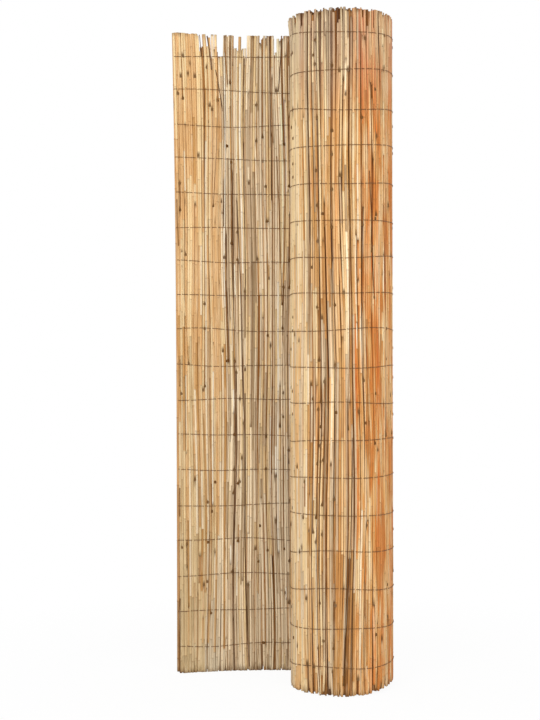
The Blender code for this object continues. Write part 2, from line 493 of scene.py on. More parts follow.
@dataclass(frozen=True)
class WireFinish:
    """Thin annealed wire, dark brown, with rust in patches."""

    name: str = "annealed_wire"
    rust_cells: Triple = (160.0, 160.0, 160.0)
    rust_mask: Mask = (0.45, 5.0)
    grain_cells: Triple = (2400.0, 2400.0, 2400.0)
    relief: float = 0.1 * MM

    def material(self) -> bpy.types.Material:
        """The finish as a material."""
        made, graph = new_material(self.name)
        place = graph.signal("ShaderNodeTexCoord", "Object")
        rust = graph.noise(place, self.rust_cells, 3.0).above(*self.rust_mask)
        grain = graph.noise(place, self.grain_cells)
        skin = graph.mix(rust, colour(Shade.UMBER), colour(Shade.BROWN, 0.8))
        graph.finish(graph.signal("ShaderNodeBsdfPrincipled", "BSDF", {
            "Base Color": graph.mix(1.0, skin, graph.grey(grain * 0.8 + 0.6), "MULTIPLY"),
            "Metallic": 0.25 - rust * 0.2,
            "Roughness": rust * 0.25 + 0.55,
            "Normal": graph.bump(grain, 0.4, self.relief),
        }))
        return made


@dataclass(frozen=True)
class Batch:
    """A lot of reeds, woven in from the free edge or the last lot inwards.

    Attributes:
        inner_end: the run where it ends.
        shares: how common each shade is.
        calm: how even it is, from 0 for thick and thin mixed to 1 for thick reeds much alike.
        rust: how rusty its patches are.
        bleach: how pale its patches are.
        fade: how far its heads have lost their colour.
        foot_shade_level: how light its feet are painted beside its heads, a painted shade that deepens
            towards the floor.
    """

    inner_end: float
    shares: dict[Shade, float]
    calm: float = 0.5
    rust: float = 0.0
    bleach: float = 0.0
    fade: float = 0.0
    foot_shade_level: float = 0.92

    def pick(self, dice: np.random.Generator) -> Shade:
        """The shade of one of its reeds."""
        shades, weights = list(self.shares), np.array(list(self.shares.values()), float)
        return shades[dice.choice(len(shades), p=weights / weights.sum())]


GOLDEN = {Shade.CREAM: 1.5, Shade.STRAW: 7, Shade.HONEY: 7, Shade.OCHRE: 1.5}
GREY = {Shade.CREAM: 6, Shade.STRAW: 5, Shade.GREY_STRAW: 7, Shade.TAUPE: 2.5, Shade.OCHRE: 0.5}
LIGHT = {Shade.IVORY: 2, Shade.CREAM: 8, Shade.STRAW: 5, Shade.GREY_STRAW: 5, Shade.TAUPE: 1}
MIXED = {
    Shade.CREAM: 2, Shade.STRAW: 3, Shade.GREY_STRAW: 4, Shade.HONEY: 5, Shade.OCHRE: 6, Shade.TAUPE: 2,
    Shade.BROWN: 0.3,
}
RUSTY = {
    Shade.CREAM: 0.6, Shade.STRAW: 1.6, Shade.HONEY: 4, Shade.AMBER: 8, Shade.OCHRE: 3.5, Shade.ORANGE: 3,
}
PALE = {Shade.CREAM: 0.6, Shade.STRAW: 6, Shade.GREY_STRAW: 3, Shade.HONEY: 4}
# painted shade: the reeds that the mat covers take darker shades, so the gaps between the shown reeds look
# shaded
COVERED_IN_SHADE = Batch(0, {Shade.OCHRE: 4, Shade.TAUPE: 2, Shade.BROWN: 5, Shade.UMBER: 2})

BATCHES = (
    Batch(365 * MM, GOLDEN, calm=0.95, rust=0.05, bleach=0.2, foot_shade_level=0.62),
    Batch(300 * MM, LIGHT, calm=0.4, bleach=0.2),
    Batch(225 * MM, GREY, calm=0.2),
    # partly painted light: the lot beside the roll takes pale shades, which lift the shade that the roll
    # casts on it
    Batch(110 * MM, LIGHT, calm=0.2, bleach=0.1, foot_shade_level=0.85),
    Batch(-190 * MM, MIXED, calm=0.4, rust=0.6, fade=0.4),
    Batch(-365 * MM, RUSTY, calm=0.65, rust=1.2, bleach=0.35, fade=0.45),
    Batch(-505 * MM, MIXED, calm=0.25, rust=0.4, bleach=0.2, fade=0.9),
    Batch(-640 * MM, PALE, calm=1.0, bleach=0.4, fade=1.3, foot_shade_level=1.0),
    Batch(-math.inf, MIXED, calm=0.4, rust=0.5, fade=0.6),
)


class Ring(NamedTuple):
    """One ring of points round a stalk."""

    height: float
    share: float = 1.0
    stretch: int = 0
    light: float = 1.0
    hollow: float = 0.0
    joint: float = 0.0
    stain: float = 0.0


@dataclass
class Reed:
    """One stalk, standing on the mat's line.

    Attributes:
        run: where it stands along the mat.
        offset: how far its middle is out from the mat's.
        radius: at its thicker, lower end.
        foot: height of its lower end.
        head: height of its upper end.
        joints: heights of its joints.
        tints: the colour of each stretch between joints.
        lean: how far its head stands aside of its foot, along the mat.
        splay: how far its tips spread along the mat, past the last rows of wire.
        taper: how much thinner its head is.
        bow: how far its middle bows aside, along the mat.
        stains: how dark its foot and its head are.
        stain_reach: how far the stains reach.
        batch: the lot that it comes from.
        knot: how much wider its foot is, where it ends in a dark knot.
    """

    run: float
    offset: float
    radius: float
    foot: float
    head: float
    joints: np.ndarray
    tints: np.ndarray
    lean: float
    splay: float
    taper: float
    bow: float
    stains: tuple[float, float]
    stain_reach: float
    batch: Batch
    knot: float = 1.0

    def path(self, line: MatLine, height: np.ndarray) -> tuple[np.ndarray, np.ndarray, np.ndarray]:
        """Run, offset and radius of the stalk at these heights."""
        share = (height - self.foot) / (self.head - self.foot)
        past_row = np.maximum(height - line.rows[-1], line.rows[0] - height).clip(0)
        tip = past_row / (line.rows[0] - line.foot)
        run = self.run + line.drift(self.run, height) + self.lean * (share - 0.5)
        run = run + self.bow * np.sin(math.pi * share) + self.splay * tip**2
        for parting in PARTINGS[Side.OUTER if self.offset > 0 else Side.INNER]:
            run = run + parting.push(self.run, height)
        flare = line.flare * math.exp(-(((self.run - line.flare_run) / line.flare_width) ** 2))
        return run, self.offset + flare * tip**1.5 * (share > 0.5), self.radius * (1 - self.taper * share)


@dataclass
class Stalks:
    """Cuts reeds for one mat, from its batches."""

    line: MatLine
    dice: np.random.Generator
    joint_spacing: tuple[float, float] = (95 * MM, 210 * MM)
    colour_blur: float = 9 * MM
    bow: float = 1 * MM
    splay: float = 1.6 * MM
    slope: tuple[float, float] = (0.002, 0.007)
    taper: tuple[float, float] = (0.02, 0.14)
    reed_light: tuple[float, float] = (0.92, 1.06)
    stretch_light: tuple[float, float] = (0.92, 1.08)
    tint_changes: float = 0.45

    def batch(self, run: float, hidden: bool = False) -> Batch:
        """The lot that a reed at this place comes from."""
        spot = run + self.dice.normal(0, self.colour_blur)
        # painted shade: a covered reed takes the darker lot
        return COVERED_IN_SHADE if hidden else next(batch for batch in BATCHES if spot > batch.inner_end)

    def reed(
        self, run: float, offset: float, radius: float, span: tuple[float, float],
        shade: Shade | None = None, hidden: bool = False, **extra: object,
    ) -> Reed:
        """A reed with joints and tints of its own.

        Args:
            run: where it stands along the mat.
            offset: how far its middle is out from the mat's.
            radius: at its thicker end.
            span: heights of its two ends, from the mat's foot.
            shade: its first shade, where that is settled.
            hidden: True for one that the mat covers.
            **extra: other fields of Reed.

        Returns:
            The reed.
        """
        dice, z = self.dice, self.line.foot
        foot, head = span
        heights = [foot + dice.uniform(0.3, 1) * self.joint_spacing[0]]
        while heights[-1] < head:
            heights.append(heights[-1] + dice.uniform(*self.joint_spacing))
        joints = np.array([height for height in heights if height < head - 30 * MM])
        batch = self.batch(run, hidden)
        first = shade or batch.pick(dice)
        tints = [first.linear * dice.uniform(*self.reed_light)]
        for _ in joints:
            if dice.random() < self.tint_changes and first not in (Shade.UMBER, Shade.BROWN):
                tints.append(batch.pick(dice).linear * dice.uniform(*self.reed_light))
            else:
                tints.append(tints[-1] * dice.uniform(*self.stretch_light))
        up = np.array([foot, *joints]) / self.line.height
        # painted shade: the tints darken towards the feet
        lit = np.array(tints) * (batch.foot_shade_level + (1 - batch.foot_shade_level) * np.sqrt(up))[:, None]
        least_stain, head_power = (0.4, 2) if run > 0 else (0.2, 0.8)
        fields = {
            "batch": batch,
            "splay": dice.normal(0, self.splay),
            "bow": dice.normal(0, self.bow),
            "taper": dice.uniform(*self.taper),
            "lean": dice.normal(0, self.slope[int(radius < 2 * MM)]) * (head - foot),
            "stains": (dice.uniform(least_stain, 1), dice.uniform(0, 1) ** head_power),
            "stain_reach": dice.uniform(6, 26) * MM,
        }
        return Reed(run, offset, radius, z + foot, z + head, joints + z, lit.clip(0, 0.95), **fields | extra)


@dataclass
class StalkMesh:
    """Joins reeds in one mesh, each a closed stalk with a hollow in both ends.

    Attributes:
        line: the mat's line.
        dice: what turns each stalk and its grain.
        sides: flat faces round a stalk.
        jointed: True where joints show.
        guides: heights where each stalk has a ring at least.
        hollow_depth: depth of the hollow in an end.
        wall_share: radius of the hollow, as a share of the stalk's.
        core_share: radius of the hollow's bottom, likewise.
        joint_reach: how far a joint's swelling reaches.
        joint_swell: how much wider a joint is.
        knot_height: height of the knot at a foot.
        grain_shift: how far apart the grain of two stalks is taken.
        groove_shade_depth: how deep the painted shade between the reeds reaches, as a share of half the mat's
            thickness.
    """

    line: MatLine
    dice: np.random.Generator
    sides: int = 8
    jointed: bool = True
    guides: tuple[float, ...] = ()
    hollow_depth: float = 12 * MM
    wall_share: float = 0.62
    core_share: float = 0.04
    joint_reach: float = 2.5 * MM
    joint_swell: float = 1.1
    knot_height: float = 9 * MM
    grain_shift: float = 40.0
    groove_shade_depth: float = 0.75

    def foot_rings(self, reed: Reed) -> list[Ring]:
        """The rings at the lower end, from the bottom of its hollow outwards."""
        low, wall, knot, stain = reed.foot, self.wall_share, reed.knot, reed.stains[0]
        deep, reach, rise = low + self.hollow_depth, reed.stain_reach, self.knot_height
        inside = [
            Ring(deep, self.core_share, hollow=1), Ring(deep, wall, hollow=1),
            Ring(low, wall * knot, hollow=0.5, stain=stain), Ring(low, 0.9 * knot, stain=stain),
        ]
        if knot == 1:
            return [*inside, Ring(low + 0.3 * reach, stain=0.7 * stain), Ring(low + reach)]
        return [
            *inside, Ring(low + 0.3 * rise, knot, stain=1), Ring(low + 0.75 * rise, 0.9 * knot, stain=1),
            Ring(low + rise, 1.05, stain=0.8), Ring(low + 2 * rise),
        ]

    def head_rings(self, reed: Reed) -> list[Ring]:
        """The rings at the upper end, from its skin in to the bottom of its hollow."""
        high, wall, stain, last = reed.head, self.wall_share, reed.stains[1], len(reed.joints)
        deep, reach = high - self.hollow_depth, reed.stain_reach
        return [
            Ring(high - reach, stretch=last), Ring(high - 0.3 * reach, stretch=last, stain=0.7 * stain),
            Ring(high, stretch=last, stain=stain), Ring(high, wall, last, hollow=0.5, stain=stain),
            Ring(deep, wall, last, hollow=1), Ring(deep, self.core_share, last, hollow=1),
        ]

    def body_rings(self, reed: Reed) -> list[Ring]:
        """The rings between the ends: three at each joint, and one at each guide."""
        rings = []
        for number, height in enumerate(reed.joints if self.jointed else []):
            rings += [
                Ring(height - self.joint_reach, 1.0, number, 0.93),
                Ring(height, self.joint_swell, number, joint=1),
                Ring(height + self.joint_reach, 0.98, number + 1, 1.05, joint=0.1),
            ]
        for guide in self.guides:
            near = any(abs(height - guide) < 2 * self.joint_reach for height in reed.joints)
            if reed.foot + 3 * self.knot_height < guide < reed.head - 3 * self.knot_height and not near:
                rings.append(Ring(guide, stretch=int(np.sum(reed.joints < guide))))
        return sorted(rings)

    def strip(self, index: int, count: int, lengths: np.ndarray) -> np.ndarray:
        """One reed's strip of the map.

        Args:
            index: the reed's number.
            count: the number of reeds.
            lengths: distances from each ring to the next.

        Returns:
            Four map points for each face, in the order of the faces.
        """
        climbed = np.concatenate([[0], np.cumsum(lengths)]) / lengths.sum()
        edges = (index + 0.06 + 0.88 * np.arange(self.sides + 1) / self.sides) / count
        low, left = np.meshgrid(climbed[:-1], edges[:-1], indexing="ij")
        high, right = np.meshgrid(climbed[1:], edges[1:], indexing="ij")
        return np.stack([left, low, right, low, right, high, left, high], -1).reshape(-1, 2)

    def build(self, name: str, reeds: list[Reed]) -> bpy.types.Object:
        """Builds the mesh object.

        Args:
            name: the piece's name.
            reeds: the reeds to join.

        Returns:
            The object, with its finish's values on its points and a strip of its map for each reed.
        """
        sides, tubes, maps = self.sides, Tubes(self.sides), []
        by_ring, by_batch = ("hollow", "joint", "stain"), ("calm", "rust", "bleach", "fade")
        held = {key: [] for key in ("tint", "grain", *by_ring, "crevice", *by_batch)}
        for index, reed in enumerate(reeds):
            rings = [*self.foot_rings(reed), *self.body_rings(reed), *self.head_rings(reed)]
            column = Ring(*(np.array(values) for values in zip(*rings)))
            run, offset, radius = reed.path(self.line, column.height)
            x, y, outwards = self.line.place(run, offset)
            reach = (radius * column.share)[:, None]
            turn = tubes.around + self.dice.uniform(0, FULL_TURN)
            across, along = reach * np.cos(turn), reach * np.sin(turn)
            z = np.repeat(column.height[:, None], sides, 1)
            tubes.add(np.stack([x[:, None] + across, y[:, None] + along, z], -1))

            # painted shade: how deep each point lies in from the mat's face, which darkens the skin between
            # the reeds
            out = offset[:, None] + across * np.cos(outwards)[:, None] + along * np.sin(outwards)[:, None]
            level = out * math.copysign(1, reed.offset) / self.line.half
            held["crevice"].append(((self.groove_shade_depth - level) / self.groove_shade_depth).clip(0, 1).ravel())
            grain = np.stack([across, along, z], -1).reshape(-1, 3)
            held["grain"].append(grain + self.dice.uniform(0, self.grain_shift, 3))
            tint = reed.tints[column.stretch] * column.light[:, None]
            held["tint"].append(np.repeat(np.column_stack([tint, np.ones(len(rings))]), sides, 0))
            for key in by_ring:
                held[key].append(np.repeat(getattr(column, key), sides))
            for key in by_batch:
                held[key].append(np.full(len(rings) * sides, getattr(reed.batch, key)))
            lengths = np.hypot(np.diff(column.height), np.diff(radius * column.share)) + 0.2 * MM
            maps.append(self.strip(index, len(reeds), lengths))
        obj = tubes.build(name)
        spread = obj.data.uv_layers.new(name=BAKE_MAP)
        corners = np.concatenate([*maps, np.zeros((2 * len(reeds) * sides, 2))])
        spread.uv.foreach_set("vector", corners.astype(np.float32).ravel())
        for key, values in held.items():
            hold(obj.data, key, np.concatenate(values))
        return obj


def hold(data: bpy.types.Mesh, name: str, values: np.ndarray) -> None:
    """Keeps a number, a vector or a colour for each point of a mesh."""
    width = values.shape[1] if values.ndim > 1 else 1
    kind, member = {1: ("FLOAT", "value"), 3: ("FLOAT_VECTOR", "vector"), 4: ("FLOAT_COLOR", "color")}[width]
    layer = data.attributes.new(name, kind, "POINT")
    layer.data.foreach_set(member, values.astype(np.float32).ravel())


def add_object(name: str, data: bpy.types.ID) -> bpy.types.Object:
    """An object of this data, linked to the scene."""
    made = bpy.data.objects.new(name, data)
    bpy.context.scene.collection.objects.link(made)
    return made


@dataclass
class Tubes:
    """Closed tubes of rings of points, to be joined in one mesh.

    Attributes:
        sides: points in a ring.
        clockwise: True where they run clockwise, seen from beyond a tube's last ring.
        points: the points of each tube, ring by ring.
        quads: four point numbers for each face along a tube.
        caps: the point numbers of each end face.
        count: points in all.
    """

    sides: int
    clockwise: bool = False
    points: list[np.ndarray] = field(default_factory=list)
    quads: list[np.ndarray] = field(default_factory=list)
    caps: list[np.ndarray] = field(default_factory=list)
    count: int = 0

    @property
    def around(self) -> np.ndarray:
        """The angles of a ring's points."""
        return np.arange(self.sides) * FULL_TURN / self.sides

    def add(self, rings: np.ndarray) -> None:
        """Adds one tube, by its rings of points."""
        side = np.arange(self.sides)
        after = (side + 1) % self.sides
        starts = self.count + np.arange(len(rings))[:, None] * self.sides
        ring, ahead = starts[:-1], starts[1:]
        faces = [ring + side, ring + after, ahead + after, ahead + side]
        ends = [starts[0] + side[::-1], starts[-1] + side]
        if self.clockwise:
            faces[1], faces[3] = faces[3], faces[1]
            ends = [end[::-1] for end in ends]
        self.points.append(rings.reshape(-1, 3))
        self.quads.append(np.stack(faces, -1).reshape(-1, 4))
        self.caps += ends
        self.count += len(rings) * self.sides

    def build(self, name: str) -> bpy.types.Object:
        """Joins the tubes in a smooth mesh object with sharp rims."""
        quads, caps = np.concatenate(self.quads), np.array(self.caps)
        corners = np.concatenate([quads.ravel(), caps.ravel()])
        starts = np.concatenate([np.arange(len(quads)) * 4, quads.size + np.arange(len(caps)) * self.sides])
        data = bpy.data.meshes.new(name)
        data.vertices.add(self.count)
        data.vertices.foreach_set("co", np.concatenate(self.points).astype(np.float32).ravel())
        data.loops.add(len(corners))
        data.loops.foreach_set("vertex_index", corners.astype(np.int32))
        data.polygons.add(len(starts))
        data.polygons.foreach_set("loop_start", starts.astype(np.int32))
        data.update(calc_edges=True)
        data.validate()
        data.shade_smooth()
        data.set_sharp_from_angle(angle=math.radians(50))
        return add_object(name, data)


@dataclass(frozen=True)
class Face:
    """A stretch of one face of the mat.

    Attributes:
        side: which face.
        start: the run where it starts.
        end: the run where it ends.
        shown: False where the mat covers it.
        airy: True where spaces are left between its reeds and above the short ones.
    """

    side: Side
    start: float
    end: float
    shown: bool = True
    airy: bool = True


class Notch(NamedTuple):
    """A gap in the mat's upper edge, where the reeds of both faces stop short."""

    middle: float
    width: float
    depth: float


NOTCHES = (
    Notch(417 * MM, 7 * MM, 54 * MM),
    Notch(400 * MM, 7 * MM, 50 * MM),
    Notch(382 * MM, 5 * MM, 40 * MM),
    Notch(362 * MM, 22 * MM, 62 * MM),
    Notch(310 * MM, 32 * MM, 58 * MM),
    Notch(253 * MM, 8 * MM, 24 * MM),
    Notch(202 * MM, 14 * MM, 62 * MM),
    Notch(150 * MM, 16 * MM, 30 * MM),
    Notch(-700 * MM, 20 * MM, 34 * MM),
)


class Ragged(NamedTuple):
    """How far the ends of some reeds stop short.

    Attributes:
        chances: how often by nothing, and how often by each of the reaches.
        reaches: their least and most, in millimetres.
    """

    chances: tuple[float, ...]
    reaches: tuple[tuple[float, float], ...]

    def draw(self, dice: np.random.Generator) -> float:
        """How far one end stops short."""
        return dice.choice([0.0, *(dice.uniform(*reach) for reach in self.reaches)], p=self.chances) * MM


FREE_FEET = Ragged((0.6, 0.34, 0.06, 0.0), ((0, 5), (6, 12), (40, 140)))
ROLL_FEET = Ragged((0.33, 0.37, 0.2, 0.1), ((0, 5), (6, 26), (40, 140)))
FREE_HEADS = Ragged((0.5, 0.4, 0.1), ((0, 10), (8, 50)))
ROLL_HEADS = Ragged((0.26, 0.5, 0.24), ((0, 10), (8, 50)))
INNER_FEET = Ragged((0.5, 0.4, 0.1), ((0, 8), (8, 22)))
INNER_HEADS = Ragged((0.3, 0.5, 0.2), ((0, 8), (8, 26)))


class Habit(NamedTuple):
    """How the reeds in one kind of place are spliced.

    Attributes:
        splices: how many splices such a place has on average.
        loose: the share of them that leaves a space.
        knotted: the share of spliced feet that end in a knot.
    """

    splices: float
    loose: float = 0.0
    knotted: float = 0.3


HABITS = {
    Place.MAIN: Habit(1.3, 0.03, 0.55),
    Place.THIN: Habit(6.5, 0.15, 0.9),
    Place.DARK: Habit(3.0),
    Place.BRIGHT: Habit(3.0),
}


class Column(NamedTuple):
    """One place on a face, for a reed or for several above each other."""

    run: float
    radius: float
    kind: Place


@dataclass
class Layer:
    """Lays the reeds of one face side by side, some of them short or spliced.

    Attributes:
        line: the mat's line.
        stalks: what cuts the reeds.
        dice: what settles where they stand.
        restless: how common each kind of place is in a lot that isn't calm at all.
        calm: how common each is in a calm lot.
        thick: least and most radius of a main or a bright reed.
        thin: least and most radius of the others.
        least: least radius on a face that follows the grooves of the other.
        set_back: how far a dark reed stands back.
        press: how close neighbours stand, in a lot that isn't calm and in a calm one.
        calm_growth: how much thicker the reeds of a calm lot are.
        likeness: how often a reed takes its neighbour's shade, in such lots likewise.
        gaps: the spaces left between two reeds.
        gap_chances: how common each space is.
        neat_from: the run from which the upper edge is even.
        neat_drop: how far a reed may stop short there.
        notched: the share of the reeds in a notch that stop short.
        splice_heights: the lowest and highest splice, as shares of the mat's height.
        shortest: the shortest length of reed at the upper edge.
        shortest_spliced: the shortest one below a splice.
        loose_gap: the least and most space at a loose splice.
        tight_gap: the space at any other splice.
        low_foot: the height below which a foot has no knot.
        knot_radius: least and most radius of a knot.
    """

    line: MatLine
    stalks: Stalks
    dice: np.random.Generator
    restless: tuple[float, ...] = (0.42, 0.32, 0.12, 0.14)
    calm: tuple[float, ...] = (0.8, 0.15, 0.01, 0.04)
    thick: tuple[float, float] = (2.7 * MM, 4.0 * MM)
    thin: tuple[float, float] = (1.3 * MM, 1.9 * MM)
    least: float = 2.3 * MM
    set_back: float = 1.2 * MM
    press: tuple[float, float] = (0.9, 0.74)
    calm_growth: float = 0.22
    likeness: tuple[float, float] = (0.4, 0.85)
    gaps: tuple[float, ...] = (0.0, 0.4 * MM, 1.2 * MM, 2.2 * MM)
    gap_chances: tuple[float, ...] = (0.66, 0.2, 0.1, 0.04)
    neat_from: float = 436 * MM
    neat_drop: float = 2 * MM
    notched: float = 0.92
    splice_heights: tuple[float, float] = (0.04, 0.97)
    shortest: float = 50 * MM
    shortest_spliced: float = 60 * MM
    loose_gap: tuple[float, float] = (12 * MM, 90 * MM)
    tight_gap: float = 0.5 * MM
    low_foot: float = 40 * MM
    knot_radius: tuple[float, float] = (3.6 * MM, 4.8 * MM)

    def columns(self, face: Face) -> list[Column]:
        """The places on a face, side by side."""
        dice, kinds = self.dice, list(Place)
        run, radius, columns = face.start, 0.0, []
        while True:
            calm = self.stalks.batch(run).calm
            shares = np.array(self.restless) * (1 - calm) + np.array(self.calm) * calm
            kind = kinds[dice.choice(len(kinds), p=shares)]
            following = dice.uniform(*(self.thick if kind in (Place.MAIN, Place.BRIGHT) else self.thin))
            following *= 1 + self.calm_growth * calm
            gap = dice.choice(self.gaps, p=self.gap_chances) * (1 - calm)
            press = np.interp(calm, (0, 1), self.press)
            run += 2 * press * math.sqrt(radius * following) + gap if columns else following
            if run + following > face.end:
                return columns
            radius = following
            columns.append(Column(run, radius, kind))

    def nested(self, face: Face, others: list[Column]) -> list[Column]:
        """Places on a face in the grooves between the columns of the other face."""
        thin = self.thin[1]
        grooves = [
            (run + following) / 2 for (run, radius, _), (following, after, _) in zip(others[:-1], others[1:])
            if min(radius, after) > thin
        ]
        behind = [run for run, radius, _ in others if radius <= thin]
        runs = sorted([*grooves, *behind, face.start + self.least, face.end - self.least])
        columns = []
        for number, run in enumerate(runs):
            beside = max(abs(run - runs[k]) for k in (number - 1, number + 1) if 0 <= k < len(runs))
            columns.append(Column(run, min(max(self.least, 0.6 * beside), 1.05 * self.thick[1]), Place.MAIN))
        return columns

    def ends(self, face: Face, run: float) -> tuple[float, float]:
        """Where the reeds of one place start and end, from the mat's foot up."""
        dice, free = self.dice, face.start >= 0
        foot = (FREE_FEET if free else ROLL_FEET).draw(dice)
        drop = (FREE_HEADS if free else ROLL_HEADS).draw(dice)
        wider = 0 if face.airy else self.least
        for notch in NOTCHES:
            if abs(run - notch.middle) < notch.width / 2 + wider and dice.random() < self.notched:
                drop = notch.depth * dice.uniform(0.6, 1.15)
        if run > self.neat_from:
            drop = min(drop, self.neat_drop)
        return foot + float(self.line.lift(run)), self.line.height - drop

    def spans(self, face: Face, kind: Place, run: float) -> list[tuple[float, float]]:
        """Lower and upper ends of the reeds that share one place, from the mat's foot up."""
        dice, height, habit = self.dice, self.line.height, HABITS[kind]
        if not face.shown:
            return [(dice.uniform(0, 9) * MM + float(self.line.lift(run)), height - dice.uniform(0, 15) * MM)]
        foot, head = self.ends(face, run)
        spans = []
        for cut in sorted(dice.uniform(*self.splice_heights, dice.poisson(habit.splices)) * height):
            if cut - foot < self.shortest_spliced:
                continue
            spans.append((foot, cut))
            loose = face.airy and dice.random() < habit.loose
            foot = cut + (dice.uniform(*self.loose_gap) if loose else self.tight_gap)
        return spans + [(foot, head)] * (head - foot > self.shortest)

    def knot(self, kind: Place, radius: float, foot: float) -> float:
        """How much wider a reed's foot is: most of the short thin ones end in a knot."""
        if foot < self.low_foot or self.dice.random() > HABITS[kind].knotted:
            return 1.0
        return max(1.1, self.dice.uniform(*self.knot_radius) / radius)

    def choose(self, face: Face, column: Column, last: Shade | None) -> Shade | None:
        """The shade settled for one place: in a calm lot it is often the last place's."""
        dice, free = self.dice, column.run > 0
        if not face.shown:
            return None
        # partly painted shade: dark reeds in the places of shaded gaps
        if column.kind is Place.DARK:
            return Shade.UMBER if dice.random() < (0.6 if free else 0.4) else Shade.BROWN
        if column.kind is Place.BRIGHT:
            pale = (Shade.IVORY, Shade.CREAM) if free else (Shade.CREAM, Shade.STRAW)
            return pale[int(dice.random() > 0.45)]
        batch = self.stalks.batch(column.run)
        settled_before = last not in (None, Shade.BROWN, Shade.TAUPE)
        alike = settled_before and dice.random() < np.interp(batch.calm, (0, 1), self.likeness)
        return last if alike else batch.pick(dice)

    def first_shade(self, kind: Place, chosen: Shade | None, number: int, knot: float) -> Shade | None:
        """The first shade of one length in a place, or None where its lot decides."""
        if kind in (Place.DARK, Place.BRIGHT):
            return chosen if self.dice.random() < 0.55 else None
        if kind is Place.THIN and knot > 1:
            return self.dice.choice([Shade.BROWN, Shade.OCHRE, None], p=[0.35, 0.25, 0.4])
        return chosen if number == 0 else None

    def fill(self, face: Face, columns: list[Column]) -> list[Reed]:
        """Places the reeds of one face in its columns."""
        half, reeds, last = self.line.half, [], None
        for column in columns:
            run, radius, kind = column
            level = half - radius - (self.set_back if kind is Place.DARK else 0)
            chosen = self.choose(face, column, last)
            if kind in (Place.MAIN, Place.THIN):
                last = chosen
            for number, span in enumerate(self.spans(face, kind, run)):
                knot = self.knot(kind, radius, span[0])
                shade = self.first_shade(kind, chosen, number, knot)
                extra = {"stains": (0.9, self.dice.uniform(0, 0.8))} if knot > 1 else {}
                extra |= {} if face.airy else {"lean": 0.0, "bow": 0.0, "splay": 0.0}
                offset = face.side.value * max(0.3 * MM, min(level, half - 0.66 * radius * knot))
                reeds.append(self.stalks.reed(
                    run, offset, radius, span, shade, hidden=not face.shown, knot=knot, **extra
                ))
        return reeds

    def strays(self, face: Face, count: int) -> list[Reed]:
        """Thin reeds that lie slanting over the others of a face."""
        dice = self.dice
        reeds = []
        for _ in range(count):
            radius, knot = dice.uniform(1.1, 1.5) * MM, dice.uniform(2.0, 2.3) * MM
            foot = dice.uniform(0.02, 1.35)
            head = min(self.line.height - 2 * MM, foot + dice.uniform(0.18, 0.7))
            offset = self.stray_offset(face.side, max(radius, knot - 0.9 * MM))
            reeds.append(self.stalks.reed(
                dice.uniform(face.start + 25 * MM, face.end - 25 * MM), offset, radius, (foot, head),
                dice.choice([Shade.UMBER, Shade.BROWN, Shade.OCHRE, Shade.CREAM]),
                lean=dice.choice([-1, 1]) * dice.uniform(6, 20) * MM, knot=knot / radius, stains=(1.0, 0.5),
            ))
        return reeds

    def stray_offset(self, side: Side, radius: float) -> float:
        """Where a reed stands that is pressed in between the tops of the others."""
        return side.value * (self.line.half + 1 * MM - radius)


@dataclass(frozen=True)
class Stray:
    """A reed that stands out on the front of the free end, by where its two ends are seen."""

    foot_run: float
    head_run: float
    foot: float
    head: float
    radius: float = 1.4 * MM
    shade: Shade = Shade.UMBER


FRONT_STRAYS = (
    Stray(388 * MM, 399 * MM, 1.700, 1.795, 2.1 * MM),
    Stray(418 * MM, 422 * MM, 1.735, 1.797, 1.2 * MM),
    Stray(356 * MM, 376 * MM, 1.583, 1.700, 1.2 * MM),
    Stray(342 * MM, 349 * MM, 1.660, 1.798, 1.6 * MM, Shade.BROWN),
    Stray(197 * MM, 186 * MM, 1.640, 1.792),
    Stray(279 * MM, 316 * MM, 0.012, 1.330, 1.7 * MM),
    Stray(292 * MM, 293 * MM, 1.050, 1.735),
    Stray(262 * MM, 251 * MM, 0.020, 0.700, 1.5 * MM, Shade.CREAM),
    Stray(387 * MM, 384 * MM, 0.470, 0.930, 1.9 * MM, Shade.IVORY),
    Stray(334 * MM, 335 * MM, 0.300, 1.000, 2.2 * MM, Shade.IVORY),
    Stray(177 * MM, 173 * MM, 0.200, 0.950, 2.2 * MM, Shade.IVORY),
    Stray(483 * MM, 487 * MM, 1.200, 1.330, 1.6 * MM, Shade.BROWN),
    Stray(480 * MM, 480 * MM, 0.805, 0.880, 1.6 * MM, Shade.BROWN),
    Stray(480 * MM, 480 * MM, 0.440, 0.520, 1.6 * MM, Shade.BROWN),
    Stray(481 * MM, 479 * MM, 0.004, 0.210, 1.6 * MM, Shade.BROWN),
)


